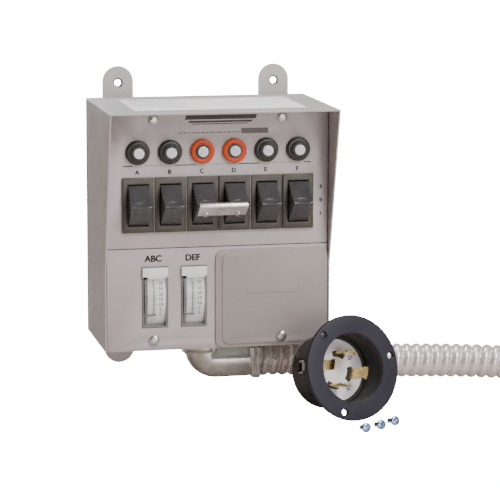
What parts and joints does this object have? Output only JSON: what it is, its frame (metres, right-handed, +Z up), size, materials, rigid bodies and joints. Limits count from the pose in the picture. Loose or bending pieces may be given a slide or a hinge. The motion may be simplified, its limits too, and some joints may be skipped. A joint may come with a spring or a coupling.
{
  "type": "manual transfer switch",
  "caption": "Wall-mounted manual transfer switch box with switched circuits, reset breakers, two edgewise meters, a flexible conduit whip and a loose flanged power inlet with screws.",
  "frame": {"origin": "middle of the flat back face of the box, on the wall", "axes": "+Y into the wall, -Y out of the front, +X to the right seen from the front, +Z up"},
  "size_m": [0.4302, 0.3125, 0.2638],
  "materials": {
    "gray_paint": "semi-gloss powder coat",
    "plate_paint": "semi-gloss paint, darker gray",
    "black_plastic": "moulded, semi-gloss",
    "bezel_plastic": "moulded, satin",
    "orange_plastic": "moulded, satin",
    "white_plastic": "moulded, satin",
    "clear_plastic": "clear, polished",
    "bright_zinc": "zinc plated",
    "die_cast": "die-cast, tumbled",
    "conduit_steel": "galvanized strip",
    "inlet_plastic": "moulded, satin",
    "brass": "bright"
  },
  "bodies": {
    "root": {"rear_box": "gray_paint", "panel_rail": "gray_paint", "upper_panel": "gray_paint", "lower_cover": "gray_paint", "inlet_blank_plate": "plate_paint", "cover_screw_top_left": "bright_zinc", "cover_screw_top_right": "bright_zinc", "cover_screw_bottom_left": "bright_zinc", "cover_screw_bottom_right": "bright_zinc", "breaker_body_a": "black_plastic", "breaker_collar_a": "black_plastic", "switch_body_a": "bezel_plastic", "breaker_body_b": "black_plastic", "breaker_collar_b": "black_plastic", "switch_body_b": "bezel_plastic", "breaker_body_c": "black_plastic", "breaker_collar_c": "orange_plastic", "switch_body_c": "bezel_plastic", "breaker_body_d": "black_plastic", "breaker_collar_d": "orange_plastic", "switch_body_d": "bezel_plastic", "breaker_body_e": "black_plastic", "breaker_collar_e": "black_plastic", "switch_body_e": "bezel_plastic", "breaker_body_f": "black_plastic", "breaker_collar_f": "black_plastic", "switch_body_f": "bezel_plastic", "meter_case_abc": "black_plastic", "meter_scale_abc": "white_plastic", "meter_lens_abc": "clear_plastic", "meter_case_def": "black_plastic", "meter_scale_def": "white_plastic", "meter_lens_def": "clear_plastic", "elbow_body": "die_cast", "elbow_clamp": "die_cast", "elbow_locknut": "bright_zinc", "conduit": "conduit_steel", "conduit_fitting": "die_cast", "inlet_housing": "inlet_plastic", "inlet_core": "white_plastic", "inlet_screw_1": "bright_zinc", "inlet_screw_2": "bright_zinc", "inlet_screw_3": "bright_zinc"},
    "rocker_a": {"rocker_a": "black_plastic"},
    "rocker_b": {"rocker_b": "black_plastic"},
    "rocker_e": {"rocker_e": "black_plastic"},
    "rocker_f": {"rocker_f": "black_plastic"},
    "rocker_pair": {"rocker_c": "black_plastic", "rocker_d": "black_plastic", "handle_tie": "bright_zinc", "tie_screw_left": "bright_zinc", "tie_screw_right": "bright_zinc"},
    "button_a": {"breaker_button_a": "white_plastic"},
    "button_b": {"breaker_button_b": "white_plastic"},
    "button_c": {"breaker_button_c": "white_plastic"},
    "button_d": {"breaker_button_d": "white_plastic"},
    "button_e": {"breaker_button_e": "white_plastic"},
    "button_f": {"breaker_button_f": "white_plastic"},
    "pointer_abc": {"meter_pointer_abc": "black_plastic"},
    "pointer_def": {"meter_pointer_def": "black_plastic"}
  },
  "joints": [
    {"name": "rocker_a_tilt", "type": "hinge", "parent": "root", "child": "rocker_a", "pos_m": [-0.0635, -0.0895, 0.0204], "axis": [1, 0, 0], "range_deg": [-12, 12]},
    {"name": "rocker_b_tilt", "type": "hinge", "parent": "root", "child": "rocker_b", "pos_m": [-0.0381, -0.0895, 0.0204], "axis": [1, 0, 0], "range_deg": [-12, 12]},
    {"name": "rocker_e_tilt", "type": "hinge", "parent": "root", "child": "rocker_e", "pos_m": [0.0381, -0.0895, 0.0204], "axis": [1, 0, 0], "range_deg": [-12, 12]},
    {"name": "rocker_f_tilt", "type": "hinge", "parent": "root", "child": "rocker_f", "pos_m": [0.0635, -0.0895, 0.0204], "axis": [1, 0, 0], "range_deg": [-12, 12]},
    {"name": "rocker_pair_tilt", "type": "hinge", "parent": "root", "child": "rocker_pair", "pos_m": [0, -0.0895, 0.0204], "axis": [1, 0, 0], "range_deg": [-12, 12]},
    {"name": "button_a_travel", "type": "slide", "parent": "root", "child": "button_a", "axis": [0, -1, 0], "range_m": [-0.001, 0.0045]},
    {"name": "button_b_travel", "type": "slide", "parent": "root", "child": "button_b", "axis": [0, -1, 0], "range_m": [-0.001, 0.0045]},
    {"name": "button_c_travel", "type": "slide", "parent": "root", "child": "button_c", "axis": [0, -1, 0], "range_m": [-0.001, 0.0045]},
    {"name": "button_d_travel", "type": "slide", "parent": "root", "child": "button_d", "axis": [0, -1, 0], "range_m": [-0.001, 0.0045]},
    {"name": "button_e_travel", "type": "slide", "parent": "root", "child": "button_e", "axis": [0, -1, 0], "range_m": [-0.001, 0.0045]},
    {"name": "button_f_travel", "type": "slide", "parent": "root", "child": "button_f", "axis": [0, -1, 0], "range_m": [-0.001, 0.0045]},
    {"name": "pointer_abc_swing", "type": "hinge", "parent": "root", "child": "pointer_abc", "pos_m": [-0.0502, -0.0525, -0.0526], "axis": [-1, 0, 0], "range_deg": [0, 38], "stiffness_Nm_per_rad": 0.0006, "springref_deg": -20.05},
    {"name": "pointer_def_swing", "type": "hinge", "parent": "root", "child": "pointer_def", "pos_m": [-0.0193, -0.0525, -0.0526], "axis": [-1, 0, 0], "range_deg": [0, 38], "stiffness_Nm_per_rad": 0.0006, "springref_deg": -20.05}
  ]
}
